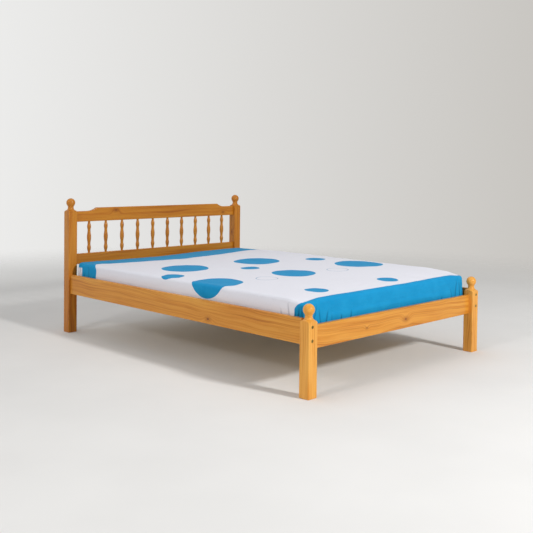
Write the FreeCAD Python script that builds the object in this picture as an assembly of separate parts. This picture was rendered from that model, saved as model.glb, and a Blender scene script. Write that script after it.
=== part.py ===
import FreeCAD, Part
import math
import os

# A pine double bed in millimetres, built round its mattress.
# +Y runs from the foot to the head and +Z up. The origin is on the floor, under the middle of the bed.
# Left is -X and right is +X, as seen from the foot.

V = FreeCAD.Vector
X, Y, Z = V(1, 0, 0), V(0, 1, 0), V(0, 0, 1)
LEFT, RIGHT = -1, 1
FOOT, HEAD = -1, 1

# ---- Mattress and fitted sheet ----
mattress_width = 1350.0
mattress_length = 1900.0
mattress_depth = 150.0           # at its middle, crown and all
mattress_plan_radius = 50.0
mattress_top_edge_radius = 26.0
mattress_bottom_edge_radius = 18.0
mattress_crown_rise = 8.0
mattress_crown_run = 240.0       # from the rounded edge to where the top lies level
smallest_plan_radius = 10.0
edge_steps = 4                   # facets round each edge
crown_steps = 3
sheet_thickness = 1.2
sheet_tuck = 90.0                # how far the sheet's hem reaches in under the mattress
mattress_side_clearance = 6.0
mattress_foot_clearance = 3.0
mattress_head_clearance = 11.0

# ---- Posts: square legs with a turned ball top ----
post_section = 58.0
post_edge_radius = 4.0
post_foot_chamfer = 2.0
foot_post_height = 423.0
head_post_height = 822.0
ball_diameter = 54.0
neck_diameter = 34.0
cove_radius = 20.0               # hollow between the ball and the shoulder
cove_angle = 70.0                # slope off the vertical where the hollow ends, degrees
shoulder_angle = 10.0            # slope off the vertical where the shoulder ends, degrees
shoulder_overrun = 0.5           # the shoulder's end stands this far outside the post's corners

# ---- Rails ----
rail_edge_radius = 3.0
side_rail_height = 117.0
side_rail_thickness = 22.0
side_rail_bottom = 238.0
side_rail_recess = 12.0          # behind the posts' outer faces
foot_rail_height = 106.0
foot_rail_thickness = 22.0
foot_rail_bottom = 216.0
foot_rail_recess = 25.0
head_rail_thickness = 24.0
lower_head_rail_height = 64.0
lower_head_rail_bottom = 414.0
crest_bottom = 676.0
crest_end_height = 65.0
crest_end_flat = 87.0            # low stretch beside each post
crest_rise = 20.0                # from the low stretch to the raised top
crest_scoop_radius = 120.0
level_tolerance = 1e-6           # an edge whose extent is under this has none

# ---- Spindles ----
spindle_count = 10
spindle_end_distance = 101.7     # from a post's face to the first spindle's axis
spindle_end_diameter = 14.0
spindle_bead_diameter = 24.0
spindle_neck_diameter = 18.0
spindle_belly_diameter = 26.0
spindle_bead_height = 33.0       # from the rail to the widest place of the bead
spindle_neck_height = 55.0
spindle_tenon_diameter = 12.0
spindle_tenon_length = 18.0

# ---- Mortise and tenon joints of the rails ----
tenon_thickness = 10.0
tenon_length = 25.0
tenon_shoulder = 12.0            # the tenon is this much lower than the rail, above and below
joint_gap = 0.1                  # round every tenon, shank and nut
joint_end_gap = 1.0              # at the bottom of every blind hole

# ---- Slats and the ledgers that carry them ----
ledger_height = 29.0
ledger_thickness = 20.0
ledger_end_gap = 8.0
ledger_screw_count = 7
ledger_screw_end_distance = 90.0
slat_count = 14
slat_width = 70.0
slat_thickness = 18.0
slat_edge_radius = 2.0
slat_end_gap = 2.0
slat_row_end_gap = 10.0          # from the posts' inner faces to the first and last slat
screw_diameter = 4.0
screw_head_diameter = 8.0
screw_length = 34.0
screw_tip_length = 5.0
screw_sink = 0.3                 # below the surface

# ---- Connector bolts and barrel nuts ----
bolt_diameter = 6.0
bolt_hole_diameter = 6.6
bolt_head_diameter = 15.0
bolt_head_thickness = 3.0
bolt_head_chamfer = 0.6
bolt_head_gap = 0.25             # between the head's rim and its counterbore
bolt_head_sink = 0.4             # below the post's face
bolt_socket_across_flats = 4.0
bolt_socket_depth = 2.2
bolt_count = 2                   # at each end of each side rail
bolt_first_height = 22.0         # above the side rail's lower edge
bolt_spacing = 62.0
bolt_past_nut = 7.0
nut_diameter = 10.0
nut_length = 14.0
nut_end_distance = 40.0          # from the rail's end to the nut's axis
nut_slot_width = 1.5
nut_slot_depth = 1.2

# ---- Places that follow from the sizes ----
inside_half_width = mattress_width / 2 + mattress_side_clearance
side_rail_x = inside_half_width + side_rail_thickness / 2
half_width = inside_half_width + side_rail_thickness + side_rail_recess
post_x = half_width - post_section / 2
post_inner_x = half_width - post_section
inside_half_length = (mattress_foot_clearance + mattress_length + mattress_head_clearance) / 2
half_length = inside_half_length + post_section
post_y = half_length - post_section / 2
foot_rail_y = -half_length + foot_rail_recess + foot_rail_thickness / 2
mattress_y = (mattress_foot_clearance - mattress_head_clearance) / 2
ledger_x = inside_half_width - ledger_thickness / 2
ledger_top = side_rail_bottom + ledger_height
slat_top = ledger_top + slat_thickness
mattress_bottom = slat_top + sheet_thickness
lower_head_rail_top = lower_head_rail_bottom + lower_head_rail_height
bolt_heights = [side_rail_bottom + bolt_first_height + i * bolt_spacing for i in range(bolt_count)]


def evenly(first, last, count):
    """count places from first to last, the same distance apart."""
    step = (last - first) / (count - 1)
    return [first + i * step for i in range(count)]


slat_reach = inside_half_length - slat_row_end_gap - slat_width / 2
slat_places = evenly(-slat_reach, slat_reach, slat_count)
spindle_reach = post_inner_x - spindle_end_distance
spindle_places = evenly(-spindle_reach, spindle_reach, spindle_count)
ledger_screw_reach = inside_half_length - ledger_screw_end_distance
ledger_screw_places = evenly(-ledger_screw_reach, ledger_screw_reach, ledger_screw_count)


# ---- Shapes ----
def block(low, high):
    size = high - low
    return Part.makeBox(size.x, size.y, size.z, low)


def rounded_outline(centre, u, v, width, height, radius):
    """A rectangle with round corners: width along u and height along v."""
    inset = radius * (1 - math.sqrt(0.5))
    edges = []
    for along, across, length, breadth in ((u, v, width, height), (v, -u, height, width),
                                           (-u, -v, width, height), (-v, u, height, width)):
        side = centre - across * (breadth / 2)
        start = side - along * (length / 2 - radius)
        end = side + along * (length / 2 - radius)
        corner = side + along * (length / 2)
        edges.append(Part.makeLine(start, end))
        edges.append(Part.Arc(end, corner + (across - along) * inset, corner + across * radius).toShape())
    return Part.Wire(edges)


def rounded_bar(start, run, u, v, width, height, radius):
    """A bar along run whose long edges are rounded; width is along u and height along v."""
    return Part.Face(rounded_outline(start, u, v, width, height, radius)).extrude(run)


def turned(edges):
    """The solid of revolution about Z of a closed outline in the XZ plane."""
    return Part.Face(Part.Wire(edges)).revolve(V(), Z, 360)


def hole(mouth, into, diameter, depth):
    return Part.makeCylinder(diameter / 2, depth, mouth, into)


# ---- Posts ----
def turned_envelope(height):
    """What a lathe leaves of a post: ball, hollow and shoulder, over an uncut shaft."""
    ball = ball_diameter / 2
    ball_z = height - ball
    cove_x = neck_diameter / 2 + cove_radius
    cove_z = ball_z - math.sqrt((ball + cove_radius) ** 2 - cove_x ** 2)
    corner = (post_section / 2 - post_edge_radius) * math.sqrt(2) + post_edge_radius
    cove_end, shoulder_end = math.radians(cove_angle), math.radians(shoulder_angle)

    def on_cove(angle):
        return V(cove_x - cove_radius * math.cos(angle), 0, cove_z - cove_radius * math.sin(angle))

    cove_foot = on_cove(cove_end)
    shoulder = corner + shoulder_overrun - cove_foot.x
    shoulder /= math.cos(shoulder_end) - math.cos(cove_end)

    def on_shoulder(angle):
        return cove_foot + V(math.cos(angle) - math.cos(cove_end), 0,
                             math.sin(angle) - math.sin(cove_end)) * shoulder

    ball_foot = V(0, 0, ball_z) + V(cove_x, 0, cove_z - ball_z) * (ball / (ball + cove_radius))
    crown, shoulder_foot = V(0, 0, height), on_shoulder(shoulder_end)
    base = V(shoulder_foot.x, 0, 0)
    return turned([
        Part.Arc(crown, V(ball, 0, ball_z), ball_foot).toShape(),
        Part.Arc(ball_foot, on_cove(0), cove_foot).toShape(),
        Part.Arc(cove_foot, on_shoulder((cove_end + shoulder_end) / 2), shoulder_foot).toShape(),
        Part.makeLine(shoulder_foot, base),
        Part.makeLine(base, V()),
        Part.makeLine(V(), crown),
    ])


def plain_post(height):
    shaft = rounded_bar(V(), Z * height, X, Y, post_section, post_section, post_edge_radius)
    floor_edges = [e for e in shaft.Edges if e.BoundBox.ZMax < post_foot_chamfer]
    return shaft.makeChamfer(post_foot_chamfer, floor_edges).common(turned_envelope(height))


def bolt_axis_starts(side, end):
    """Where each connector bolt's axis meets the post's outer face."""
    return [V(side * side_rail_x, end * half_length, z) for z in bolt_heights]


def make_post(side, end, height, mortises):
    post = plain_post(height)
    post.translate(V(side * post_x, end * post_y, 0))
    into = Y * -end
    for start in bolt_axis_starts(side, end):
        counterbore = bolt_head_diameter + 2 * bolt_head_gap
        post = post.cut(hole(start, into, counterbore, bolt_head_sink + bolt_head_thickness))
        post = post.cut(hole(start, into, bolt_hole_diameter, post_section))
    for mortise in mortises:
        post = post.cut(mortise)
    return post


# ---- Rails ----
def tenon(side, y, bottom, height, gap=0.0):
    """The tongue on a cross rail's end, or with a gap the mortise that takes it."""
    face, half = side * post_inner_x, tenon_thickness / 2 + gap
    reach = face + side * (tenon_length + (joint_end_gap if gap else 0))
    low = V(min(face, reach), y - half, bottom + tenon_shoulder - gap)
    high = V(max(face, reach), y + half, bottom + height - tenon_shoulder + gap)
    return block(low, high)


def tenoned_rail(bar, y, bottom, height):
    return bar.fuse([tenon(side, y, bottom, height) for side in (LEFT, RIGHT)]).removeSplitter()


def cross_bar(y, bottom, height, thickness):
    start = V(-post_inner_x, y, bottom + height / 2)
    return rounded_bar(start, X * (2 * post_inner_x), Y, Z, thickness, height, rail_edge_radius)


def make_crest_rail():
    """The headboard's top rail: low at the posts, then scooped up to a raised straight top."""
    low_z = crest_bottom + crest_end_height
    top_z = low_z + crest_rise
    scoop_run = math.sqrt(crest_scoop_radius ** 2 - (crest_scoop_radius - crest_rise) ** 2)
    flat_x = post_inner_x - crest_end_flat
    half_sweep = math.asin(scoop_run / crest_scoop_radius) / 2
    middle_x = flat_x - crest_scoop_radius * math.sin(half_sweep)
    middle_z = low_z + crest_scoop_radius * (1 - math.cos(half_sweep))
    back = post_y - head_rail_thickness / 2

    def at(x, z):
        return V(x, back, z)

    edges = [Part.makeLine(at(-post_inner_x, crest_bottom), at(post_inner_x, crest_bottom))]
    corners = [(post_inner_x, crest_bottom), (post_inner_x, low_z), (flat_x, low_z)]
    edges += [Part.makeLine(at(*a), at(*b)) for a, b in zip(corners, corners[1:])]
    right_scoop = [at(flat_x, low_z), at(middle_x, middle_z), at(flat_x - scoop_run, top_z)]
    left_scoop = [at(scoop_run - flat_x, top_z), at(-middle_x, middle_z), at(-flat_x, low_z)]
    edges.append(Part.Arc(*right_scoop).toShape())
    edges.append(Part.makeLine(right_scoop[-1], left_scoop[0]))
    edges.append(Part.Arc(*left_scoop).toShape())
    edges += [Part.makeLine(at(-b[0], b[1]), at(-a[0], a[1]))
              for a, b in reversed(list(zip(corners, corners[1:])))]
    bar = Part.Face(Part.Wire(edges)).extrude(Y * head_rail_thickness)
    long_edges = [e for e in bar.Edges
                  if e.BoundBox.YLength < level_tolerance and e.BoundBox.XLength > rail_edge_radius]
    bar = bar.makeFillet(rail_edge_radius, long_edges)
    rail = tenoned_rail(bar, post_y, crest_bottom, crest_end_height)
    return rail.cut([spindle_socket(x, crest_bottom, 1) for x in spindle_places])


def make_lower_head_rail():
    bar = cross_bar(post_y, lower_head_rail_bottom, lower_head_rail_height, head_rail_thickness)
    rail = tenoned_rail(bar, post_y, lower_head_rail_bottom, lower_head_rail_height)
    return rail.cut([spindle_socket(x, lower_head_rail_top, -1) for x in spindle_places])


def make_foot_rail():
    bar = cross_bar(foot_rail_y, foot_rail_bottom, foot_rail_height, foot_rail_thickness)
    return tenoned_rail(bar, foot_rail_y, foot_rail_bottom, foot_rail_height)


def make_side_rail(side):
    start = V(side * side_rail_x, -inside_half_length, side_rail_bottom + side_rail_height / 2)
    run = Y * (2 * inside_half_length)
    rail = rounded_bar(start, run, X, Z, side_rail_thickness, side_rail_height, rail_edge_radius)
    bolt_depth = nut_end_distance + bolt_past_nut + joint_end_gap
    nut_depth = (side_rail_thickness + nut_length) / 2
    cuts = []
    for end in (FOOT, HEAD):
        for z in bolt_heights:
            mouth = V(side * side_rail_x, end * inside_half_length, z)
            cuts.append(hole(mouth, Y * -end, bolt_hole_diameter, bolt_depth))
            nut = V(side * inside_half_width, end * (inside_half_length - nut_end_distance), z)
            cuts.append(hole(nut, X * side, nut_diameter + 2 * joint_gap, nut_depth))
    for y in ledger_screw_places:
        cuts.append(ledger_screw(side, y, joint_gap))
    return rail.cut(cuts)


# ---- Spindles ----
def s_curve(a, b):
    """Two equal arcs from a to b in the XZ plane that leave a and reach b along Z."""
    dx, dz = b.x - a.x, b.z - a.z
    radius = (dx ** 2 + dz ** 2) / (4 * abs(dx))
    half_turn = math.asin(dz / 2 / radius) / 2
    step = V(math.copysign(radius * (1 - math.cos(half_turn)), dx), 0, radius * math.sin(half_turn))
    middle = (a + b) / 2
    return [Part.Arc(a, a + step, middle).toShape(), Part.Arc(middle, b - step, b).toShape()]


def make_spindle(x):
    bottom, top = lower_head_rail_top, crest_bottom
    half = [(bottom, spindle_end_diameter), (bottom + spindle_bead_height, spindle_bead_diameter),
            (bottom + spindle_neck_height, spindle_neck_diameter)]
    whole = half + [((bottom + top) / 2, spindle_belly_diameter)]
    whole += [(bottom + top - z, diameter) for z, diameter in reversed(half)]
    places = [V(diameter / 2, 0, z) for z, diameter in whole]
    tenon_x = spindle_tenon_diameter / 2
    low, high = bottom - spindle_tenon_length, top + spindle_tenon_length
    before = [V(0, 0, low), V(tenon_x, 0, low), V(tenon_x, 0, bottom), places[0]]
    after = [places[-1], V(tenon_x, 0, top), V(tenon_x, 0, high), V(0, 0, high), V(0, 0, low)]
    edges = [Part.makeLine(a, b) for a, b in zip(before, before[1:])]
    for a, b in zip(places, places[1:]):
        edges += s_curve(a, b)
    edges += [Part.makeLine(a, b) for a, b in zip(after, after[1:])]
    spindle = turned(edges)
    spindle.translate(V(x, post_y, 0))
    return spindle


def spindle_socket(x, z, up):
    depth = spindle_tenon_length + joint_end_gap
    return hole(V(x, post_y, z), Z * up, spindle_tenon_diameter + 2 * joint_gap, depth)


# ---- Slats and ledgers ----
def screw(head, into, gap=0.0):
    """A countersunk screw from its head's face inwards, or with a gap the hole that takes it."""
    grown, shank = screw_head_diameter / 2 + gap, screw_diameter / 2 + gap
    cone_depth = grown - shank
    outline = [(0, 0), (grown, 0), (shank, cone_depth), (shank, screw_length - screw_tip_length),
               (gap, screw_length + gap), (0, screw_length + gap)]
    if not gap:
        outline.pop()
    points = [V(r, 0, depth) for r, depth in outline]
    body = turned([Part.makeLine(a, b) for a, b in zip(points, points[1:] + points[:1])])
    body.Placement = FreeCAD.Placement(head, FreeCAD.Rotation(Z, into))
    if not gap:
        return body
    mouth = Part.makeCylinder(grown, screw_sink, head - into * screw_sink, into)
    return body.fuse(mouth).removeSplitter()


def ledger_screw(side, y, gap=0.0):
    x = side * (inside_half_width - ledger_thickness + screw_sink)
    return screw(V(x, y, side_rail_bottom + ledger_height / 2), X * side, gap)


def slat_screw(side, y, gap=0.0):
    return screw(V(side * ledger_x, y, slat_top - screw_sink), -Z, gap)


def make_ledger(side):
    length = 2 * (inside_half_length - ledger_end_gap)
    start = V(side * ledger_x, -length / 2, side_rail_bottom + ledger_height / 2)
    bar = rounded_bar(start, Y * length, X, Z, ledger_thickness, ledger_height, slat_edge_radius)
    cuts = [ledger_screw(side, y, joint_gap) for y in ledger_screw_places]
    cuts += [slat_screw(side, y, joint_gap) for y in slat_places]
    return bar.cut(cuts)


def make_slat(y):
    half = inside_half_width - slat_end_gap
    start = V(-half, y, ledger_top + slat_thickness / 2)
    bar = rounded_bar(start, X * (2 * half), Y, Z, slat_width, slat_thickness, slat_edge_radius)
    return bar.cut([slat_screw(side, y, joint_gap) for side in (LEFT, RIGHT)])


# ---- Connector bolts and barrel nuts ----
def make_bolt(start, into):
    """One bolt: a low round head with a hexagon socket, on a shank that passes through its nut."""
    length = post_section - bolt_head_sink + nut_end_distance + bolt_past_nut
    head = Part.makeCylinder(bolt_head_diameter / 2, bolt_head_thickness)
    rim = [e for e in head.Edges if e.BoundBox.ZMax < bolt_head_chamfer]
    head = head.makeChamfer(bolt_head_chamfer, rim)
    reach = bolt_socket_across_flats / 2 / math.cos(math.pi / 6)
    corners = [V(reach * math.cos(i * math.pi / 3), reach * math.sin(i * math.pi / 3), 0) for i in range(6)]
    socket = Part.Face(Part.makePolygon(corners + corners[:1])).extrude(Z * bolt_socket_depth)
    bolt = head.fuse(Part.makeCylinder(bolt_diameter / 2, length)).removeSplitter().cut(socket)
    bolt.Placement = FreeCAD.Placement(start + into * bolt_head_sink, FreeCAD.Rotation(Z, into))
    return bolt


def make_barrel_nut(side, end, z):
    y = end * (inside_half_length - nut_end_distance)
    face = V(side * (side_rail_x - nut_length / 2), y, z)
    nut = hole(face, X * side, nut_diameter, nut_length)
    reach = nut_diameter             # the cutters' ends lie well outside the nut
    across = hole(V(side * side_rail_x, y - reach, z), Y, bolt_diameter + 2 * joint_gap, 2 * reach)
    slot_end = face + X * (side * nut_slot_depth)
    low = V(min(face.x, slot_end.x), y - nut_slot_width / 2, z - reach)
    high = V(max(face.x, slot_end.x), y + nut_slot_width / 2, z + reach)
    return nut.cut([across, block(low, high)])


# ---- Mattress and fitted sheet ----
def mattress_levels(grow):
    """Inset from the mattress's sides and height above its base, from the base to the crown's top."""
    low, high = mattress_bottom_edge_radius, mattress_top_edge_radius
    edge_top = mattress_depth - mattress_crown_rise
    levels = []
    for i in range(edge_steps + 1):
        angle = i * math.pi / 2 / edge_steps
        levels.append((low - (low + grow) * math.sin(angle), low - (low + grow) * math.cos(angle)))
    for i in range(edge_steps + 1):
        angle = i * math.pi / 2 / edge_steps
        levels.append((high - (high + grow) * math.cos(angle),
                       edge_top - high + (high + grow) * math.sin(angle)))
    for i in range(1, crown_steps + 1):
        share = i / crown_steps
        levels.append((high + mattress_crown_run * share,
                       edge_top + grow + mattress_crown_rise * math.sin(share * math.pi / 2)))
    return levels


def mattress_outline(inset, height):
    radius = max(mattress_plan_radius - inset, smallest_plan_radius)
    centre = V(0, mattress_y, mattress_bottom + height)
    return rounded_outline(centre, X, Y, mattress_width - 2 * inset, mattress_length - 2 * inset, radius)


def make_mattress(grow=0.0):
    outlines = [mattress_outline(inset, height) for inset, height in mattress_levels(grow)]
    return Part.makeLoft(outlines, True, True)


def make_fitted_sheet():
    """A skin over the mattress's top and sides, tucked in under its base."""
    skin = make_mattress(sheet_thickness).cut(make_mattress())
    overrun = sheet_thickness        # the cutter's ends stand clear of the cloth under the base
    mouth = Part.Face(mattress_outline(sheet_tuck, -sheet_thickness - overrun))
    return skin.cut(mouth.extrude(Z * (sheet_thickness + 2 * overrun)))


# ---- All the pieces by name ----
def side_name(side):
    return "left" if side == LEFT else "right"


def group(shapes):
    return Part.makeCompound(shapes)


def all_pieces():
    pieces = {}
    for side in (LEFT, RIGHT):
        name = side_name(side)
        head_mortises = [tenon(side, post_y, crest_bottom, crest_end_height, joint_gap),
                         tenon(side, post_y, lower_head_rail_bottom, lower_head_rail_height, joint_gap)]
        foot_mortises = [tenon(side, foot_rail_y, foot_rail_bottom, foot_rail_height, joint_gap)]
        pieces[f"head_post_{name}"] = make_post(side, HEAD, head_post_height, head_mortises)
        pieces[f"foot_post_{name}"] = make_post(side, FOOT, foot_post_height, foot_mortises)
        pieces[f"side_rail_{name}"] = make_side_rail(side)
        pieces[f"slat_ledger_{name}"] = make_ledger(side)
    pieces["crest_rail"] = make_crest_rail()
    pieces["lower_head_rail"] = make_lower_head_rail()
    pieces["foot_rail"] = make_foot_rail()
    for i, x in enumerate(spindle_places, 1):
        pieces[f"spindle_{i:02d}"] = make_spindle(x)
    for i, y in enumerate(slat_places, 1):
        pieces[f"slat_{i:02d}"] = make_slat(y)
    sides = (LEFT, RIGHT)
    for end, name in ((FOOT, "foot"), (HEAD, "head")):
        starts = [start for side in sides for start in bolt_axis_starts(side, end)]
        pieces[f"{name}_connector_bolts"] = group([make_bolt(start, Y * -end) for start in starts])
        pieces[f"{name}_barrel_nuts"] = group([make_barrel_nut(side, end, z)
                                               for side in sides for z in bolt_heights])
    pieces["ledger_screws"] = group([ledger_screw(side, y) for side in sides for y in ledger_screw_places])
    pieces["slat_screws"] = group([slat_screw(side, y) for side in sides for y in slat_places])
    pieces["mattress"] = make_mattress()
    pieces["fitted_sheet"] = make_fitted_sheet()
    return pieces


os.makedirs("parts", exist_ok=True)
for node, shape in all_pieces().items():
    shape.exportStep(f"parts/{node}.step")
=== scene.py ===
import math
import random

import bmesh
import bpy
import numpy as np
from mathutils import Matrix, Vector


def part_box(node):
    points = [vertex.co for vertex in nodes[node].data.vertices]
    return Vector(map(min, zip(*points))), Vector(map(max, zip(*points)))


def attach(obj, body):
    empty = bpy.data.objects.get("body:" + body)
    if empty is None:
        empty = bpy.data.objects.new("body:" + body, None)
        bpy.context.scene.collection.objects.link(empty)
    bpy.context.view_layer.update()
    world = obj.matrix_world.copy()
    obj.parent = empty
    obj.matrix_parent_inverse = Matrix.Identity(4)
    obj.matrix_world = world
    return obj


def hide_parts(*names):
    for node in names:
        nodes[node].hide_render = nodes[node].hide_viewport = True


# A pine spindle bed with its mattress in a spotted fitted sheet, in metres.
# +Y runs from the foot to the head and +Z up. The origin is on the floor, under the middle of the bed.

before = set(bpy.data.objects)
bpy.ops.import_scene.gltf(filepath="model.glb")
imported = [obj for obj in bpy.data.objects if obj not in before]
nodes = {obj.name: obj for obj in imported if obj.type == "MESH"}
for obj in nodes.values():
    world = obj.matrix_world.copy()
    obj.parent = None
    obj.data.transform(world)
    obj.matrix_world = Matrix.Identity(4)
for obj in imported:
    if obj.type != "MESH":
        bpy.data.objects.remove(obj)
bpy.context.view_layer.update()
scene = bpy.context.scene

# ---- Camera: solved from the corners of the posts and rails ----
PICTURE_PIXELS = 533
CAMERA_PLACE = Vector((-3.3509, -3.3729, 1.0258))
CAMERA_HEADING = math.radians(45.6)      # clockwise from +Y
CAMERA_PITCH = math.radians(1.77)        # downwards
CAMERA_ROLL = math.radians(0.69)
FOCAL_PIXELS = 807.79
PRINCIPAL_PIXEL = (274.52, 192.49)
SENSOR_WIDTH = 36.0

# ---- Mattress ----
EDGE_RADIUS = 0.014                      # round the top
BASE_EDGE_RADIUS = 0.018
PLAN_RADIUS = 0.05                       # of the corners, seen from above
BORDER_DROP = 0.008                      # from the solid's top down to the top panel's border
CROWN_RISE = 0.001                       # of the top panel's middle over its border
CROWN_RUN = 0.24                         # from the border to where the crown is level
CORNER_DROP = 0.009                      # the top sinks by up to this much at the foot's corners
CORNER_NEAR = 0.02                       # from a corner of the box to the mattress's rounded corner
CORNER_REACH = 0.12                      # how far from a corner the top begins to sink

# How the top lies. The places are shares of half the mattress, from -1 to 1.
FAR_RISE = 0.021                         # the right-hand edge lies up to this much higher than the left
FOOT_RISE_SHARE = 0.3                    # what is left of that rise at the foot's end
FOOT_RISE_FULL = -0.73                   # where it has grown to the whole
HEAD_RISE_START = 0.5                    # where it begins to shrink again
HEAD_RISE_LOSS = 0.5                     # the share that is lost at the head's end
HEAD_SAG = 0.005                         # the top sinks by up to this much left of the head's middle
SAG_ALONG = (0.1, 0.8)                   # where the sag sets in and where it is deepest
SAG_MIDDLE = -0.2
SAG_ACROSS = (0.1, 0.75)                 # distances from its middle where it begins to fade and has gone
PAD_CELL = 0.024
PAD_SINK = 0.003                         # the pad starts this far inside the mattress's solid
PAD_SWELL = 0.002
PAD_PRESSURE = 4.0
PAD_FRAMES = 20

# ---- Fitted sheet ----
SHEET_CELL = 0.011
SHEET_THICKNESS = 0.0012
SHEET_TUCK = 0.09                        # how far the hem reaches in under the mattress
SHEET_START = 0.0012                     # outside the mattress's solid, before it settles
SHEET_PULL = 0.0003                      # how much less cloth there is than the skin needs
SHEET_FRAMES = 12
SHEET_MOVE = 0.008                       # farthest that the cloth may move as it settles
SHEET_EVENING = 4                        # how often its moves are averaged between neighbours
SHEET_CLOTH = dict(quality=5, mass=0.00002, tension_stiffness=12.0, compression_stiffness=12.0,
                   shear_stiffness=4.0, bending_stiffness=0.02, shrink_min=SHEET_PULL)
CLOTH_GAP = 0.0005                       # kept between the sheet and the pad as it settles
CLOTH_FRICTION = 8.0
SHEET_RISE = 0.0055                      # farthest that a wrinkle may stand out
GATHER_CUTS = 3                          # each cell is split by this many cuts where the cloth is gathered
GATHER_DROP = 0.012                      # cells are split from this far below the top downwards
GATHER_REACH = 0.20                      # and up to here from the foot's end and the corners
CREASE_WIDTH = 0.0042                    # this far from its middle a crease is about a third as deep
CREASE_LEAN = 0.3                        # the most that it moves sideways for each metre up
CREASE_FADE = 0.6                        # the share of its height from which it runs out
CORNER_CREASES = (0.013, 0.031, 0.052, 0.088, 0.135)    # their distances from a corner's seam
CORNER_TOPS = (0.09, 0.17)               # above the base, where they run out
CORNER_WEAKEST = 0.6                     # the least share of a crease's full depth
CORNER_DEPTH = 0.0042                    # how far the cloth stands out between its creases
HEM_SPACING = 0.062                      # the creases along the foot and the head are about this far apart
HEM_JITTER = 0.4                         # each lies up to this share of the spacing to one side
HEM_TOPS = (0.054, 0.08)
HEM_WEAKEST = 0.0
HEM_DEPTH = 0.0025
RIPPLE_COUNT = 14                        # faint waves all over the cloth
RIPPLE_LENGTHS = (0.09, 0.4)
RIPPLE_DEPTH = 0.0006
SEAM_START = 0.034                       # the corners' seams begin this far from the top panel's border


# ---- Node trees ----
class Tree:
    """Short calls for the nodes of one node tree. A value is a number, a vector or another node's output."""

    def __init__(self, tree):
        self.tree = tree

    def fill(self, socket, value):
        if isinstance(value, bpy.types.NodeSocket):
            self.tree.links.new(value, socket)
        else:
            socket.default_value = value

    def node(self, kind, inputs=(), **settings):
        made = self.tree.nodes.new("ShaderNode" + kind)
        for key, value in settings.items():
            setattr(made, key, value)
        for key, value in dict(inputs).items():
            self.fill(made.inputs[key], value)
        return made

    def math(self, operation, *values):
        return self.node("Math", enumerate(values), operation=operation).outputs[0]

    def vector(self, operation, *values):
        made = self.node("VectorMath", enumerate(values), operation=operation)
        number = operation in ("LENGTH", "DISTANCE", "DOT_PRODUCT")
        return made.outputs["Value" if number else "Vector"]

    def combine(self, x, y, z=0.0):
        return self.node("CombineXYZ", {0: x, 1: y, 2: z}).outputs[0]

    def smooth(self, value, low, high, to_low=0.0, to_high=1.0, kind="SMOOTHSTEP"):
        """to_low where value is under low, to_high where it is over high, and an even curve between."""
        inputs = {"Value": value, "From Min": low, "From Max": high, "To Min": to_low, "To Max": to_high}
        return self.node("MapRange", inputs, interpolation_type=kind).outputs["Result"]

    def straight(self, *values):
        """As smooth, with a straight line between."""
        return self.smooth(*values, kind="LINEAR")

    def most(self, values):
        """The largest of the values at each point."""
        largest = values[0]
        for value in values[1:]:
            largest = self.math("MAXIMUM", largest, value)
        return largest

    def noise(self, vector, scale=1.0, detail=2.0, roughness=0.5):
        inputs = {"Vector": vector, "Scale": scale, "Detail": detail, "Roughness": roughness}
        return self.node("TexNoise", inputs).outputs["Fac"]

    def noise_along(self, value, scale, detail=1.0):
        inputs = {"W": value, "Scale": scale, "Detail": detail}
        return self.node("TexNoise", inputs, noise_dimensions="1D").outputs["Fac"]

    def mix(self, share, a, b):
        made = self.node("Mix", data_type="RGBA")
        for index, value in ((0, share), (6, a), (7, b)):
            self.fill(made.inputs[index], value)
        return made.outputs[2]

    def ramp(self, value, stops):
        """A number from 0 to 1 turned into another, by straight lines between the stops."""
        made = self.node("ValToRGB", {"Fac": value})
        elements = made.color_ramp.elements
        while len(elements) < len(stops):
            elements.new(0.5)
        for element, (place, level) in zip(elements, stops):
            element.position = place
            element.color = (level, level, level, 1)
        return made.outputs["Color"]


class Shader(Tree):
    """A material with a Principled shader, and the nodes that feed it."""

    def __init__(self, name, **sockets):
        self.material = bpy.data.materials.new(name)
        self.material.use_nodes = True
        super().__init__(self.material.node_tree)
        self.principled = self.tree.nodes["Principled BSDF"]
        for socket, value in sockets.items():
            self.principled.inputs[socket.replace("_", " ")].default_value = value

    def bump(self, height, distance, strength):
        inputs = {"Height": height, "Distance": distance, "Strength": strength}
        self.to("Normal", self.node("Bump", inputs).outputs["Normal"])

    def to(self, socket, value):
        self.tree.links.new(value, self.principled.inputs[socket])


def linear(red, green, blue):
    """A colour given as sRGB values from 0 to 255, as the shaders want it."""
    shares = [value / 255 for value in (red, green, blue)]
    return (*[s / 12.92 if s <= 0.04045 else ((s + 0.055) / 1.055) ** 2.4 for s in shares], 1.0)


# ---- Wood ----
LACQUER = dict(early=linear(240, 178, 84), warm=linear(225, 152, 54), late=linear(180, 102, 24))
AMBER_LACQUER = dict(early=linear(224, 158, 62), warm=linear(209, 134, 40), late=linear(164, 92, 20))
# A darker copy of the lacquer for the head end: painted shade, as the head end lies farther from the key
# lamp
SHADED_LACQUER = dict(early=linear(203, 133, 38), warm=linear(188, 113, 24), late=linear(144, 74, 10))
BARE = dict(early=linear(230, 204, 160), warm=linear(220, 188, 138), late=linear(192, 148, 92))
KNOT_DARK = linear(66, 32, 14)
KNOT_RED = linear(132, 70, 26)
RING_WIDTH = 0.0046
NARROW_RING = 0.0034                     # in the posts and the spindles
SIDE_RAIL_RING = 0.004
FOOT_RAIL_RING = 0.0052
TAPER = 0.012                            # how much a ring widens along the log, per metre
KNOT_STRETCH = 0.55                      # a knot's figure is this much shorter across the grain


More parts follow.
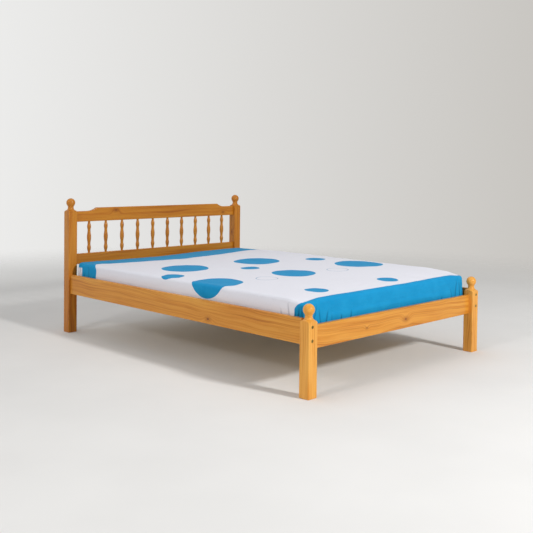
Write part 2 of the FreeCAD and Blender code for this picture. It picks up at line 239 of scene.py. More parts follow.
def wood(name, grain, pith, seed, finish=LACQUER, knots=(), gloss=True, ring=RING_WIDTH):
    """Pine from a log whose pith runs along the grain, at pith in the other two directions.

    The growth rings are tubes round the pith that wander along the grain, so each face shows the figure
    that a saw would give it. A knot is its centre, its radius and the direction that its branch ran in."""
    s = Shader(name, Specular_IOR_Level=0.25)
    if gloss:
        s.principled.inputs["Coat Weight"].default_value = 0.22
        s.principled.inputs["Coat Roughness"].default_value = 0.14
    place = s.node("TexCoord").outputs["Object"]
    parts = s.node("SeparateXYZ", {0: place}).outputs
    along = "XYZ".index(grain)
    across = [i for i in range(3) if i != along]
    shift = tuple(seed * k for k in (1.7, 2.9, 4.3))

    def stretched(lengthwise, crosswise):
        scale = [crosswise] * 3
        scale[along] = lengthwise
        return s.vector("MULTIPLY", s.vector("ADD", place, shift), tuple(scale))

    length = s.math("ADD", parts[along], shift[0])
    ways = []
    for i, centre in zip(across, pith):
        wander = s.noise_along(s.math("ADD", length, 3.1 * i), 1.4, 2.0)
        away = s.math("SUBTRACT", parts[i], centre)
        ways.append(s.math("MULTIPLY_ADD", s.math("SUBTRACT", wander, 0.5), 0.04, away))
    radius = s.math("MULTIPLY_ADD", length, TAPER, s.vector("LENGTH", s.combine(*ways)))
    ripple = s.math("SUBTRACT", s.noise(stretched(3.0, 12.0), detail=1.5), 0.5)
    radius = s.math("MULTIPLY_ADD", ripple, 0.005, radius)
    cores, halos = [], []
    for centre, size, branch in knots:
        scale = [1.0, 1.0, 1.0]
        scale[along] = KNOT_STRETCH
        scale[branch] = 0.0
        apart = s.vector("MULTIPLY", s.vector("SUBTRACT", place, tuple(centre)), tuple(scale))
        distance = s.vector("LENGTH", apart)
        rough = s.math("MULTIPLY_ADD", s.noise(place, 0.7 / size), size * 0.9, distance)
        radius = s.math("ADD", radius, s.smooth(distance, 0.0, size * 5.5, size * 2.6, 0.0))
        cores.append(s.smooth(rough, size * 0.75, size * 1.15, 1.0, 0.0))
        halos.append(s.smooth(rough, size * 0.9, size * 3.6, 1.0, 0.0))
    spacing = s.math("MULTIPLY", s.noise_along(radius, 70.0), 1.6)
    years = s.math("MULTIPLY_ADD", radius, 1 / ring, spacing)
    year = s.math("FLOOR", years)
    strength = s.node("TexWhiteNoise", {"W": year}, noise_dimensions="1D").outputs["Value"]
    late = s.ramp(s.math("FRACT", years), [(0.0, 0.0), (0.4, 0.1), (0.8, 0.8), (0.92, 1.0), (1.0, 0.0)])
    late = s.math("MULTIPLY", late, s.smooth(strength, 0.0, 1.0, 0.3, 1.0))
    flame = s.noise(s.combine(s.math("MULTIPLY", years, 0.5), s.math("MULTIPLY", length, 2.0)), detail=3.0)
    fibre = s.noise(stretched(16.0, 800.0), detail=3.0, roughness=0.6)
    pores = s.noise(stretched(40.0, 1500.0))
    cloudy = s.noise(stretched(1.1, 14.0))
    colour = s.mix(s.smooth(flame, 0.36, 0.66), finish["early"], finish["warm"])
    colour = s.mix(s.smooth(cloudy, 0.35, 0.75, 0.0, 0.45), colour, finish["warm"])
    colour = s.mix(s.smooth(flame, 0.56, 0.76, 0.0, 0.5), colour, finish["late"])
    colour = s.mix(s.math("MULTIPLY", late, s.smooth(flame, 0.3, 0.7, 0.25, 0.7)), colour, finish["late"])
    colour = s.mix(s.smooth(fibre, 0.5, 0.9, 0.0, 0.35), colour, finish["late"])
    colour = s.mix(s.smooth(pores, 0.66, 0.8, 0.0, 0.4), colour, finish["late"])
    if knots:
        colour = s.mix(s.math("MULTIPLY", s.most(halos), 0.6), colour, finish["late"])
        colour = s.mix(s.most(cores), colour, s.mix(s.noise(place, 380.0), KNOT_DARK, KNOT_RED))
    s.to("Base Color", colour)
    low, high = (0.34, 0.5) if gloss else (0.6, 0.78)
    s.to("Roughness", s.smooth(fibre, 0.2, 0.8, low, high))
    relief = s.math("MULTIPLY_ADD", late, 0.5, s.math("MULTIPLY", fibre, 0.5))
    s.bump(relief, 0.0002 if gloss else 0.0004, 0.35)
    return s.material


def dress(node, material):
    """Puts one material on all of a CAD node's slots."""
    slots = nodes[node].data.materials
    for i in range(len(slots)):
        slots[i] = material
    if not slots:
        slots.append(material)


def middle(node):
    low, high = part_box(node)
    return (low + high) / 2


# Each knot's centre, its radius and the axis that its branch ran along.
KNOTS = {
    "side_rail_left": [((-0.703, -0.324, 0.263), 0.0072, 0)],
    "side_rail_right": [((0.703, 0.31, 0.30), 0.008, 0)],
    "foot_rail": [((0.052, -0.99, 0.262), 0.0078, 1), ((-0.270, -0.99, 0.259), 0.0036, 1)],
    "crest_rail": [((-0.363, 0.974, 0.741), 0.0075, 1), ((0.558, 0.974, 0.700), 0.006, 1)],
    "head_post_right": [((0.657, 0.986, 0.55), 0.006, 0)],
}


def dress_wood():
    """Each board is cut from its own place in its own log."""
    draw = random.Random(11)

    def plank(name, grain, pith, **more):
        more.setdefault("knots", KNOTS.get(name, ()))
        dress(name, wood(name + "_pine", grain, pith, draw.uniform(0, 9), **more))

    for name in sorted(n for n in nodes if "_post_" in n):
        at = middle(name)
        # The head posts take the darker copy of the lacquer, painted shade for the head end lying farther
        # from the lamp
        finish = SHADED_LACQUER if name.startswith("head") else LACQUER
        pith = (at.x + draw.uniform(0.08, 0.11), at.y + draw.uniform(0.09, 0.12))
        plank(name, "Z", pith, finish=finish, ring=NARROW_RING)
    for name in ("side_rail_left", "side_rail_right"):
        at = middle(name)
        plank(name, "Y", (at.x * 0.92, at.z + 0.078), finish=AMBER_LACQUER, ring=SIDE_RAIL_RING)
    at = middle("foot_rail")
    plank("foot_rail", "X", (at.y + 0.05, at.z - 0.07), finish=AMBER_LACQUER, ring=FOOT_RAIL_RING)
    # The headboard's rails and spindles take the same darker copy, painted shade for the head end
    for name in ("crest_rail", "lower_head_rail"):
        at = middle(name)
        plank(name, "X", (at.y + 0.06, at.z + 0.075), finish=SHADED_LACQUER)
    for name in sorted(n for n in nodes if n.startswith("spindle_")):
        at = middle(name)
        pith = (at.x + draw.uniform(-0.04, 0.04), at.y + 0.06)
        plank(name, "Z", pith, finish=SHADED_LACQUER, ring=NARROW_RING)
    for name in sorted(n for n in nodes if n.startswith("slat_") and n[5:].isdigit()):
        at = middle(name)
        pith = (at.y + draw.uniform(-0.03, 0.03), at.z - draw.uniform(0.03, 0.07))
        centre = (draw.uniform(-0.5, 0.5), at.y + draw.uniform(-0.02, 0.02), at.z)
        knot = (centre, draw.uniform(0.005, 0.009), 2)
        plank(name, "X", pith, finish=BARE, gloss=False, knots=[knot])
    for name in ("slat_ledger_left", "slat_ledger_right"):
        at = middle(name)
        plank(name, "Y", (at.x + 0.04, at.z - 0.03), finish=BARE, gloss=False)


# ---- Metal ----
def metal(name, colour, worn, roughness):
    """Plated metal with fine scratches and dulled patches."""
    s = Shader(name, Metallic=1.0)
    place = s.node("TexCoord").outputs["Object"]
    patches = s.noise(place, 420.0, 4.0, 0.6)
    scratches = s.noise(s.vector("MULTIPLY", place, (900.0, 5200.0, 900.0)))
    s.to("Base Color", s.mix(s.smooth(patches, 0.35, 0.7), colour, worn))
    s.to("Roughness", s.smooth(scratches, 0.2, 0.8, roughness - 0.08, roughness + 0.12))
    s.bump(scratches, 0.00005, 0.3)
    return s.material


def dress_metal():
    bronze = metal("bronzed_bolt_metal", linear(168, 142, 76), linear(96, 78, 40), 0.34)
    zinc = metal("zinc_metal", linear(186, 186, 180), linear(142, 140, 132), 0.38)
    for end in ("foot", "head"):
        dress(f"{end}_connector_bolts", bronze)
        dress(f"{end}_barrel_nuts", zinc)
    dress("ledger_screws", zinc)
    dress("slat_screws", zinc)


# ---- The mattress's skin, from which the pad and the sheet both start ----
def on_ring(place, border, span, half, radius):
    """Bends the border of a plain rectangle into a rounded one; returns where its points go and face.

    place is on the border of the rectangle of half sizes border, of which the last span of each side goes
    round the corner of the rounded rectangle of half sizes half and the given radius."""
    rows = np.arange(len(place))
    side = np.argmin(border - abs(place), axis=1)
    other = 1 - side
    run, border_run, half_run = (a[rows, other] for a in (abs(place), border, half))
    turn = np.clip(1 - (border_run - run) / span, 0, 1) * math.pi / 4
    scale = (half_run - radius) / np.maximum(border_run - span, 1e-9)
    went, facing = np.zeros_like(place), np.zeros_like(place)
    went[rows, other] = np.minimum(run, border_run - span) * scale + radius * np.sin(turn)
    went[rows, side] = half[rows, side] - radius * (1 - np.cos(turn))
    facing[rows, other] = np.sin(turn)
    facing[rows, side] = np.cos(turn)
    sign = np.where(place < 0, -1, 1)
    return went * sign, facing * sign, (math.pi / 4 - turn) * radius


def skin_path(depth, grow, tuck, cell):
    """Steps from the top panel's border down and in under: length on the skin, inset and height."""
    top, base = EDGE_RADIUS + grow, BASE_EDGE_RADIUS + grow
    height = depth + 2 * grow - BORDER_DROP
    bends = (top * math.pi / 2, base * math.pi / 2)
    upright = height - top - base
    total = bends[0] + upright + bends[1] + tuck - base
    steps = []
    for length in np.linspace(0, total, round(total / cell) + 1):
        down = length - bends[0]
        under = down - upright - bends[1]
        if down < 0:
            angle = length / top
            inset, z = top * (1 - math.sin(angle)), height - top * (1 - math.cos(angle))
        elif down < upright:
            inset, z = 0.0, height - top - down
        elif under < 0:
            angle = (down - upright) / base
            inset, z = base * (1 - math.cos(angle)), base * (1 - math.sin(angle))
        else:
            inset, z = base + under, 0.0
        steps.append((length, inset, z))
    return steps


def smoothly(value, low, high):
    """0 where value is under low, 1 where it is over high, and an even curve between."""
    share = np.clip((value - low) / (high - low), 0, 1)
    return share ** 2 * (3 - 2 * share)


def lie(place, half):
    """How much higher the top lies than a level one, at places across and along from its middle."""
    across, along = (place / half).T
    rise = FAR_RISE * ((1 + across) / 2) ** 2
    rise *= (FOOT_RISE_SHARE + (1 - FOOT_RISE_SHARE) * smoothly(along, -1, FOOT_RISE_FULL)
             - HEAD_RISE_LOSS * smoothly(along, HEAD_RISE_START, 1))
    corner = 1 - smoothly(np.linalg.norm(half - abs(place), axis=1), CORNER_NEAR, CORNER_REACH)
    sag = smoothly(along, *SAG_ALONG) * (1 - smoothly(abs(across - SAG_MIDDLE), *SAG_ACROSS))
    return rise - HEAD_SAG * sag - CORNER_DROP * corner * (along < 0)


def mattress_skin(name, cell, grow, tuck, closed):
    """The mattress's surface as a grid of quads: a top panel, and rings down the sides and in under.

    flat_place holds where each point lies when the cloth is spread out flat, and seam how far it is from
    the nearest corner's sewn line."""
    low, high = (np.array(corner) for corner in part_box("mattress"))
    centre = (low + high)[:2] / 2
    half = (high - low)[:2] / 2 + grow
    panel_half = half - EDGE_RADIUS - grow
    count = np.round(2 * panel_half / cell).astype(int)
    columns, rows = count + 1
    u, v = np.meshgrid(np.linspace(-1, 1, columns), np.linspace(-1, 1, rows))
    plain = np.stack([u.ravel(), v.ravel()], 1) * panel_half
    depth = (panel_half - abs(plain)).min(axis=1)
    border = panel_half - depth[:, None]
    panel_radius = PLAN_RADIUS - EDGE_RADIUS
    radius = np.maximum(panel_radius - depth, 0)
    span = np.maximum(PLAN_RADIUS * radius / panel_radius, 1e-6)
    panel, _, _ = on_ring(plain, border, span, border, radius)
    crown = CROWN_RISE * np.sin(np.minimum(depth / CROWN_RUN, 1) * math.pi / 2)
    base_z = low[2] - grow
    top_z = high[2] - BORDER_DROP + grow
    points = [np.column_stack([panel + centre, top_z + crown])]
    flats, seams = [panel + centre], [np.ones(len(panel))]
    index = np.arange(columns * rows).reshape(rows, columns)
    loop = np.concatenate([index[0, :-1], index[:-1, -1], index[-1, :0:-1], index[:0:-1, 0]])
    quads = [np.stack([index[:-1, :-1], index[:-1, 1:], index[1:, 1:], index[1:, :-1]], -1).reshape(-1, 4)]
    rim = np.tile(panel_half, (len(loop), 1))
    edge = panel[loop] + centre
    upper, made = loop, len(plain)
    for length, inset, z in skin_path(high[2] - low[2], grow, tuck, cell)[1:]:
        radius = max(PLAN_RADIUS + grow - inset, PLAN_RADIUS - EDGE_RADIUS)
        drawn_in = np.tile(half - inset, (len(loop), 1))
        ring, facing, seam = on_ring(plain[loop], rim, PLAN_RADIUS, drawn_in, radius)
        points.append(np.column_stack([ring + centre, np.full(len(ring), base_z + z)]))
        flats.append(edge + facing * length)
        seam = seam + max(SEAM_START - length, 0)
        seams.append(seam + np.maximum(abs(rim - abs(plain[loop])).max(axis=1) - PLAN_RADIUS, 0))
        lower = made + np.arange(len(loop))
        quads.append(np.stack([upper, lower, np.roll(lower, -1), np.roll(upper, -1)], -1))
        upper, made = lower, made + len(loop)
    if closed:
        inner = np.setdiff1d(index, loop)
        under = np.full(columns * rows, -1)
        under[loop] = upper
        under[inner] = made + np.arange(len(inner))
        points.append(np.column_stack([panel[inner] + centre, np.full(len(inner), base_z)]))
        flats.append(panel[inner] + centre)
        seams.append(np.ones(len(inner)))
        quads.append(under[quads[0][:, ::-1]])
    points = np.concatenate(points)
    points[:, 2] += lie(points[:, :2] - centre, half) * (points[:, 2] - base_z) / (top_z - base_z)
    mesh = bpy.data.meshes.new(name)
    mesh.from_pydata(points.tolist(), [], np.concatenate(quads).tolist())
    flat = np.concatenate(flats)
    store(mesh, "flat_place", np.column_stack([flat, np.zeros(len(flat))]))
    store(mesh, "seam", np.concatenate(seams))
    mesh.shade_smooth()
    piece = bpy.data.objects.new(name, mesh)
    scene.collection.objects.link(piece)
    return piece


def numbers(items, key, width):
    """What each item holds under key, as rows of width numbers."""
    flat = np.zeros(len(items) * width, np.float32)
    items.foreach_get(key, flat)
    return flat.reshape(-1, width).astype(float)


def store(mesh, name, values):
    """Keeps a number or a vector with each of the mesh's points, for the materials to read."""
    kind, key = ("FLOAT_VECTOR", "vector") if values.ndim == 2 else ("FLOAT", "value")
    layer = mesh.attributes.new(name, kind, "POINT")
    layer.data.foreach_set(key, values.astype(np.float32).ravel())


def points_of(mesh):
    return numbers(mesh.vertices, "co", 3)


def set_points(mesh, points):
    mesh.vertices.foreach_set("co", points.astype(np.float32).ravel())
    mesh.update()


def settled(piece, frames):
    """Where the piece's points are after its cloth has run."""
    scene.frame_start, scene.frame_end = 1, frames
    for number in range(1, frames + 1):
        scene.frame_set(number)
    evaluated = piece.evaluated_get(bpy.context.evaluated_depsgraph_get())
    return points_of(evaluated.data)


def capped(start, end, most):
    """The moves from start to end, none of them longer than most."""
    move = end - start
    size = np.linalg.norm(move, axis=1, keepdims=True)
    return start + move * np.minimum(1, most / np.maximum(size, 1e-9))


# ---- Mattress ----
def make_pad():
    """The padded mattress under the sheet: pressure swells its panels between their edges."""
    pad = mattress_skin("mattress_pad", PAD_CELL, -PAD_SINK, EDGE_RADIUS - PAD_SINK, closed=True)
    start = points_of(pad.data)
    cloth = pad.modifiers.new("swell", "CLOTH")
    cloth.settings.use_pressure = True
    cloth.settings.uniform_pressure_force = PAD_PRESSURE
    cloth.settings.effector_weights.gravity = 0.0
    end = capped(start, settled(pad, PAD_FRAMES), PAD_SWELL)
    pad.modifiers.remove(cloth)
    end[:, 2] = np.maximum(end[:, 2], start[:, 2].min())
    set_points(pad.data, end)
    pad.data.materials.append(ticking())
    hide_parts("mattress")
    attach(pad, "mattress")
    return pad


STRIPE_SPACING = 0.042


def ticking():
    """Woven mattress cover: off-white with narrow grey stripes along its length."""
    s = Shader("mattress_ticking", Roughness=0.85, Sheen_Weight=0.1, Specular_IOR_Level=0.3)
    place = s.node("TexCoord").outputs["Object"]
    parts = s.node("SeparateXYZ", {0: place}).outputs
    share = s.math("FRACT", s.math("MULTIPLY", parts[0], 1 / STRIPE_SPACING))
    stripe = s.ramp(share, [(0.0, 0.0), (0.42, 0.0), (0.45, 1.0), (0.55, 1.0), (0.58, 0.0)])
    weave = s.noise(s.vector("MULTIPLY", place, (900.0, 900.0, 900.0)), detail=3.0)
    colour = s.mix(stripe, linear(226, 223, 214), linear(176, 180, 184))
    colour = s.mix(s.smooth(weave, 0.35, 0.8, 0.0, 0.35), colour, linear(188, 184, 172))
    s.to("Base Color", colour)
    s.bump(weave, 0.0006, 0.5)
    return s.material


# ---- Fitted sheet ----
# Round printed spots on the sheet spread out flat: place across, place along and radius.
SPOTS = [(-0.379, 0.257, 0.136), (0.146, 0.200, 0.143), (-0.102, 0.0, 0.056), (-0.075, -0.322, 0.123),
         (0.476, 0.004, 0.063), (0.492, -0.332, 0.146), (0.136, -0.810, 0.057), (-0.414, -0.791, 0.060),
         (-0.617, 0.071, 0.063), (-0.604, -0.271, 0.138)]
RINGS = [(-0.322, -0.358, 0.058), (0.200, -0.410, 0.061)]
RING_LINE = 0.0036
PRINT_EDGE = 0.001                       # a printed edge runs out over this much to either side
PRINT_BLUE = linear(8, 142, 196)
PRINT_BLUE_WORN = linear(18, 148, 201)
PRINT_GREY = linear(140, 168, 196)
COTTON = linear(231, 231, 239)
CREASE_SHADE = (0.3, 0.32, 0.38)         # painted shade: what is left of the colour at the bottom of a crease
FLAP = 0.70                              # from here outwards the cloth hangs down the mattress's sides
FOOT_BAND_EDGE = -0.928
FOOT_BAND_STEPS = ((0.655, 0.715, 0.039), (0.745, 0.80, -0.02))    # from, to, and the edge's move there
HEAD_BAND_EDGE = 0.647                   # where the band is widest; it lies a little bowed
HEAD_BAND_MIDDLE = 0.096
HEAD_BAND_BOW = 0.237
HEAD_BAND_REACH = 0.66                   # the bow ends here, and the edge runs straight down the flap
HEAD_BAND_STEP = (0.625, FLAP, -0.060)
HEAD_BAND_WAVE = 0.006                   # how far the edge wanders
FLAP_BARE = (0.870, 0.932)               # between these places along, the flap has no blue
FLAP_SOFT = 0.01
THREAD_PITCH = 0.0011                    # two threads of the weave


def make_sheet(pad):
    sheet = mattress_skin("cotton_sheet", SHEET_CELL, SHEET_START, SHEET_TUCK, closed=False)
    low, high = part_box("mattress")
    drape(sheet, pad, low, high)
    sheet.data.materials.append(sheet_cotton())
    thick = sheet.modifiers.new("cloth", "SOLIDIFY")
    thick.thickness = SHEET_THICKNESS
    thick.offset = -1
    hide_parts("fitted_sheet")
    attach(sheet, "mattress")


def split_where_gathered(mesh, low, high):
    """Splits the cells round the foot's end and at the head's corners, so narrow creases have points."""
    work = bmesh.new()
    work.from_mesh(mesh)
    edges = set()
    for face in work.faces:
        at = face.calc_center_median()
        to_corner = math.hypot(min(at.x - low.x, high.x - at.x), high.y - at.y)
        if at.z < high.z - GATHER_DROP and min(at.y - low.y, to_corner) < GATHER_REACH:
            edges.update(face.edges)
    bmesh.ops.subdivide_edges(work, edges=list(edges), cuts=GATHER_CUTS, use_grid_fill=True)
    work.to_mesh(mesh)
    work.free()
    mesh.shade_smooth()


def crease_lines(run, up, places, tops, weakest, draw):
    """How deep in a crease each point lies, from 0 to 1.

    The creases rise from the hem at the given places along run, lean a little and run out at their tops."""
    deep = np.zeros(len(run))
    for place, top in zip(places, tops):
        lean = draw.uniform(-CREASE_LEAN, CREASE_LEAN)
        strength = weakest + (1 - weakest) * draw.uniform(0, 1) ** 2
        off = (run - place - lean * (up - top / 2)) / CREASE_WIDTH
        deep = np.maximum(deep, strength * np.exp(-off ** 2) * (1 - smoothly(up, top * CREASE_FADE, top)))
    return deep


def all_creases(points, up, seam, long_side, low, high, draw):
    """How deep in a crease each point lies, at the corners and along the foot's and the head's hems."""
    deep = np.zeros(len(points))
    # Each of the four corners has a part on a long side and a part on an end.
    region = (points[:, 0] > 0) + 2 * (points[:, 1] > 0) + 4 * long_side
    for number in range(8):
        here = region == number
        tops = draw.uniform(*CORNER_TOPS, len(CORNER_CREASES))
        deep[here] = crease_lines(seam[here], up[here], CORNER_CREASES, tops, CORNER_WEAKEST, draw)
    places = np.arange(low.x, high.x, HEM_SPACING)
    places += draw.uniform(-HEM_JITTER, HEM_JITTER, len(places)) * HEM_SPACING
    for end in (-1, 1):
        here = ~long_side & (points[:, 1] * end > 0)
        tops = draw.uniform(*HEM_TOPS, len(places))
        hem = crease_lines(points[here, 0], up[here], places, tops, HEM_WEAKEST, draw)
        deep[here] = np.maximum(deep[here], hem)
    return deep


def ripples(points, draw):
    """The height of faint waves that run in all directions."""
    waves = np.zeros(len(points))
    for _ in range(RIPPLE_COUNT):
        way = draw.normal(0, 1, 3)
        way *= 2 * math.pi / draw.uniform(*RIPPLE_LENGTHS) / np.linalg.norm(way)
        waves += np.sin(points @ way + draw.uniform(0, 2 * math.pi))
    return waves / math.sqrt(RIPPLE_COUNT / 2) * RIPPLE_DEPTH


def gathered(mesh, low, high):
    """The cloth's points with the gathers that the elastic hem pulls up, and faint waves all over."""
    points = points_of(mesh)
    facing = numbers(mesh.vertices, "normal", 3)
    seam = numbers(mesh.attributes["seam"].data, "value", 1)[:, 0]
    draw = np.random.default_rng(5)
    up = points[:, 2] - low.z
    long_side = abs(facing[:, 0]) > abs(facing[:, 1])
    upright = 1 - abs(facing[:, 2])
    deep = all_creases(points, up, seam, long_side, low, high, draw) * upright
    # The crease depth is kept for the material, which paints shade in the creases from it
    store(mesh, "crease", deep)
    hem_depth = HEM_DEPTH * (1 - smoothly(up, *HEM_TOPS)) * ~long_side
    near_corner = 1 - smoothly(seam, CORNER_CREASES[0], GATHER_REACH)
    corner_depth = CORNER_DEPTH * near_corner * (1 - smoothly(up, CORNER_TOPS[0] / 2, CORNER_TOPS[1]))
    folds = np.maximum(hem_depth, corner_depth) * upright * (1 - deep)
    return points + facing * (folds + ripples(points, draw))[:, None]


def evened(mesh, start, end, passes):
    """end with its moves from start averaged between neighbours, so no fold is as narrow as a cell."""
    edges = np.zeros(len(mesh.edges) * 2, np.int32)
    mesh.edges.foreach_get("vertices", edges)
    a, b = edges.reshape(-1, 2).T
    count = np.bincount(np.concatenate([a, b]), minlength=len(start))[:, None]
    move = end - start
    for _ in range(passes):
        total = np.zeros_like(move)
        np.add.at(total, a, move[b])
        np.add.at(total, b, move[a])
        move = (move + total / count) / 2
    return start + move


def drape(sheet, pad, low, high):
    """Lets the sheet settle on the pad, drawn a little tight, its hem held under the base."""
    mesh = sheet.data
    start = points_of(mesh)
    held = sheet.vertex_groups.new(name="held")
    under = np.nonzero(start[:, 2] < low.z + BASE_EDGE_RADIUS / 2)[0]
    held.add(under.tolist(), 1.0, "REPLACE")
    hit = pad.modifiers.new("hit", "COLLISION")
    pad.collision.thickness_outer = CLOTH_GAP
    pad.collision.cloth_friction = CLOTH_FRICTION
    cloth = sheet.modifiers.new("drape", "CLOTH")
    for setting, value in SHEET_CLOTH.items():
        setattr(cloth.settings, setting, value)
    cloth.settings.vertex_group_mass = "held"
    cloth.collision_settings.distance_min = CLOTH_GAP
    end = evened(mesh, start, capped(start, settled(sheet, SHEET_FRAMES), SHEET_MOVE), SHEET_EVENING)
    sheet.modifiers.remove(cloth)
    pad.modifiers.remove(hit)
    set_points(mesh, end)
    split_where_gathered(mesh, low, high)
    end = gathered(mesh, low, high)
    middle_xy = np.array([(low.x + high.x) / 2, (low.y + high.y) / 2])
    limit = np.array([(high.x - low.x) / 2, (high.y - low.y) / 2]) + SHEET_RISE
    end[:, :2] = middle_xy + np.clip(end[:, :2] - middle_xy, -limit, limit)
    end[:, 2] = np.clip(end[:, 2], low.z - SHEET_THICKNESS / 2, None)
    set_points(mesh, end)
    sheet.vertex_groups.remove(held)


def printed_before(s, value, edge):
    """1 where value is under edge and 0 where it is over, with a printed edge between."""
    return s.smooth(s.math("SUBTRACT", value, edge), -PRINT_EDGE, PRINT_EDGE, 1.0, 0.0)


def foot_band(s, out, along):
    """Where the blue band at the foot is; out is how far a point lies from the sheet's middle line."""
    edge = FOOT_BAND_EDGE
    for start, end, move in FOOT_BAND_STEPS:
        edge = s.math("ADD", s.smooth(out, start, end, 0.0, move), edge)
    return printed_before(s, along, edge)


def head_band(s, across, out, along):
    """Where the blue band at the head is. Its edge bows and wanders, and part of its flap is bare."""
    wave = s.math("MULTIPLY", s.math("SUBTRACT", s.noise_along(across, 16.0, 2.0), 0.5), HEAD_BAND_WAVE)
    off = s.math("MAXIMUM", s.math("MINIMUM", across, HEAD_BAND_REACH), -HEAD_BAND_REACH)
    off = s.math("SUBTRACT", off, HEAD_BAND_MIDDLE)
    edge = s.math("MULTIPLY_ADD", s.math("MULTIPLY", off, off), HEAD_BAND_BOW, HEAD_BAND_EDGE)
    start, end, move = HEAD_BAND_STEP
    edge = s.math("ADD", s.math("ADD", edge, wave), s.smooth(out, start, end, 0.0, move))
    bare = s.math("MULTIPLY", printed_before(s, FLAP_BARE[0], along), printed_before(s, along, FLAP_BARE[1]))
    bare = s.math("MULTIPLY", bare, s.smooth(out, FLAP - FLAP_SOFT, FLAP))
    return s.math("MULTIPLY", printed_before(s, edge, along), s.math("SUBTRACT", 1.0, bare))


def sheet_cotton():
    """White cotton with blue ends and round blue spots, all printed on the cloth, and painted shade in its
    creases.
    """
    s = Shader("sheet_cotton_print", Roughness=0.85, Sheen_Weight=0.05, Specular_IOR_Level=0.15)
    place = s.node("Attribute", attribute_name="flat_place").outputs["Vector"]
    across, along, _ = s.node("SeparateXYZ", {0: place}).outputs
    out = s.math("ABSOLUTE", across)
    spots = [printed_before(s, s.vector("DISTANCE", place, (x, y, 0)), radius) for x, y, radius in SPOTS]
    ink = s.most([*spots, foot_band(s, out, along), head_band(s, across, out, along)])
    rings = []
    for x, y, radius in RINGS:
        away = s.math("ABSOLUTE", s.math("SUBTRACT", s.vector("DISTANCE", place, (x, y, 0)), radius))
        rings.append(s.smooth(away, RING_LINE / 2, RING_LINE, 1.0, 0.0))
    line = s.most(rings)
    turn = 2 * math.pi / THREAD_PITCH
    threads = s.vector("MULTIPLY", place, (turn, turn, 0.0))
    warp, weft, _ = s.node("SeparateXYZ", {0: s.vector("SINE", threads)}).outputs
    weave = s.math("MULTIPLY", warp, weft)
    slub = s.noise(s.vector("MULTIPLY", place, (40.0, 700.0, 1.0)), detail=3.0)
    faded = s.noise(s.vector("MULTIPLY", place, (14.0, 14.0, 1.0)), detail=3.0)
    blue = s.mix(s.smooth(faded, 0.3, 0.7), PRINT_BLUE, PRINT_BLUE_WORN)
    colour = s.mix(s.math("MULTIPLY", line, 0.75), COTTON, PRINT_GREY)
    colour = s.mix(ink, colour, blue)
    colour = s.mix(s.smooth(slub, 0.45, 0.9, 0.0, 0.12), colour, linear(120, 130, 150))
    seam = s.node("Attribute", attribute_name="seam").outputs["Fac"]
    sewn = s.smooth(seam, 0.0006, 0.0022, 1.0, 0.0)
    colour = s.mix(s.math("MULTIPLY", sewn, 0.35), colour, linear(90, 100, 120))
    # Painted shade: the colour darkens towards the bottom of each crease
    crease = s.node("Attribute", attribute_name="crease").outputs["Fac"]
    colour = s.mix(s.math("MULTIPLY", crease, 0.8), colour, s.vector("MULTIPLY", colour, CREASE_SHADE))
    s.to("Base Color", colour)
    relief = s.math("MULTIPLY_ADD", weave, 0.25, s.math("SUBTRACT", slub, s.math("MULTIPLY", sewn, 3.0)))
    s.bump(relief, 0.0003, 0.3)
    return s.material


# ---- Studio ----
def make_camera():
    camera = bpy.data.objects.new("camera", bpy.data.cameras.new("camera"))
    scene.collection.objects.link(camera)
    sin, cos = math.sin, math.cos
    ahead = Vector((sin(CAMERA_HEADING) * cos(CAMERA_PITCH), cos(CAMERA_HEADING) * cos(CAMERA_PITCH),
                    -sin(CAMERA_PITCH)))
    right = Vector((cos(CAMERA_HEADING), -sin(CAMERA_HEADING), 0))
    up = right.cross(ahead)
    rolled_right = right * cos(CAMERA_ROLL) + up * sin(CAMERA_ROLL)
    rolled_up = up * cos(CAMERA_ROLL) - right * sin(CAMERA_ROLL)
    turn = Matrix((rolled_right, rolled_up, -ahead)).transposed()
    camera.matrix_world = Matrix.Translation(CAMERA_PLACE) @ turn.to_4x4()
    camera.data.sensor_width = SENSOR_WIDTH
    camera.data.lens = SENSOR_WIDTH * FOCAL_PIXELS / PICTURE_PIXELS
    camera.data.shift_x = 0.5 - PRINCIPAL_PIXEL[0] / PICTURE_PIXELS
    camera.data.shift_y = PRINCIPAL_PIXEL[1] / PICTURE_PIXELS - 0.5
    scene.camera = camera


def softbox(name, place, aim, side, watts):
    lamp = bpy.data.lights.new(name, "AREA")
    lamp.size = side
    lamp.energy = watts
    holder = bpy.data.objects.new(name, lamp)
    scene.collection.objects.link(holder)
    holder.location = place
    holder.rotation_euler = (Vector(aim) - Vector(place)).to_track_quat("-Z", "Y").to_euler()


WORLD_COLOUR = linear(250, 250, 250)
WORLD_LIGHT = (0.26, 1.0)                # its strength away from the light side, and straight from there
LIGHT_SIDE = (-0.5, 0.866, 0.0)          # behind the head, and to the left
LIGHT_RANGE = (-0.2, 1.0)
BRIGHT_SIDE = (-0.7071, 0.7071, 0.0)     # the backdrop's painted shade is lightest on this side
BRIGHT_RANGE = (-0.36, 0.36)
BACKDROP_PALE = linear(238, 238, 237)
BACKDROP_DIM = linear(198, 195, 190)
FLOOR_HALF = 14.0
FLOOR_COLOUR = linear(234, 233, 231)
FLOOR_FADE = (2.2, 6.0)                  # distances between which the floor turns into the backdrop


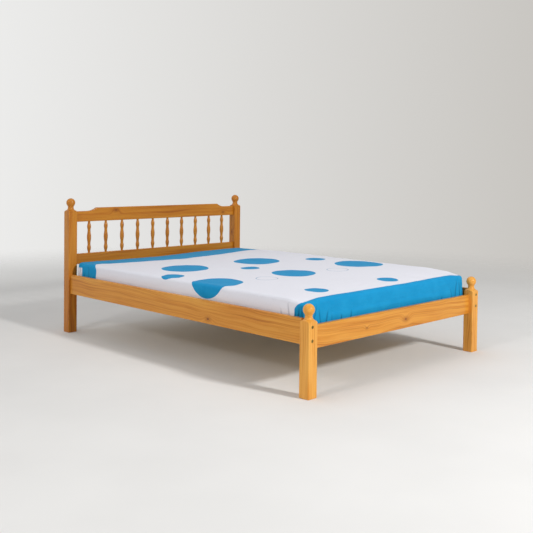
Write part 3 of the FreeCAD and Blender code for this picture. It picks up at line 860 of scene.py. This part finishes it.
def make_backdrop():
    """A pale backdrop with painted shade that darkens it sideways, and a plain light that is strongest from
    one side.
    """
    world = bpy.data.worlds.new("studio")
    scene.world = world
    world.use_nodes = True
    t = Tree(world.node_tree)
    direction = t.node("TexCoord").outputs["Generated"]
    light = t.tree.nodes["Background"]
    light.inputs["Color"].default_value = WORLD_COLOUR
    level = t.straight(t.vector("DOT_PRODUCT", direction, LIGHT_SIDE), *LIGHT_RANGE, *WORLD_LIGHT)
    t.fill(light.inputs["Strength"], level)
    # Painted shade: the backdrop that the camera sees darkens from BACKDROP_PALE to BACKDROP_DIM away from
    # BRIGHT_SIDE
    share = t.straight(t.vector("DOT_PRODUCT", direction, BRIGHT_SIDE), *BRIGHT_RANGE)
    seen = t.node("Background", {"Color": t.mix(share, BACKDROP_DIM, BACKDROP_PALE)})
    rays = t.node("LightPath").outputs
    direct = t.most([rays[f"Is {kind} Ray"] for kind in ("Camera", "Glossy", "Transmission")])
    choose = t.node("MixShader", {0: direct, 1: light.outputs[0], 2: seen.outputs[0]})
    t.fill(t.tree.nodes["World Output"].inputs["Surface"], choose.outputs[0])


def make_floor():
    corners = [(x * FLOOR_HALF, y * FLOOR_HALF, 0) for x, y in ((-1, -1), (1, -1), (1, 1), (-1, 1))]
    mesh = bpy.data.meshes.new("floor")
    mesh.from_pydata(corners, [], [(0, 1, 2, 3)])
    floor = bpy.data.objects.new("floor", mesh)
    scene.collection.objects.link(floor)
    s = Shader("studio_floor", Roughness=0.9, Specular_IOR_Level=0.1)
    place = s.node("TexCoord").outputs["Object"]
    mottle = s.noise(place, 1.5, 3.0)
    s.to("Base Color", s.mix(s.smooth(mottle, 0.3, 0.7), FLOOR_COLOUR, linear(230, 229, 227)))
    away = s.smooth(s.vector("LENGTH", place), *FLOOR_FADE)
    clear = s.node("BsdfTransparent")
    blend = s.node("MixShader", {0: away, 1: s.principled.outputs[0], 2: clear.outputs[0]})
    s.tree.links.new(blend.outputs[0], s.tree.nodes["Material Output"].inputs["Surface"])
    mesh.materials.append(s.material)


def make_studio():
    scene.view_settings.view_transform = "Standard"
    softbox("key_softbox", place=(0.2, -6.2, 3.5), aim=(0, -0.2, 0.3), side=0.6, watts=290)
    softbox("side_softbox", place=(-5.2, -0.9, 3.2), aim=(0, 0, 0.3), side=0.6, watts=46)
    softbox("top_softbox", place=(0.0, 0.6, 4.2), aim=(0, 0, 0), side=2.2, watts=19)
    make_backdrop()
    make_floor()


make_camera()
make_studio()
dress_wood()
dress_metal()
make_sheet(make_pad())
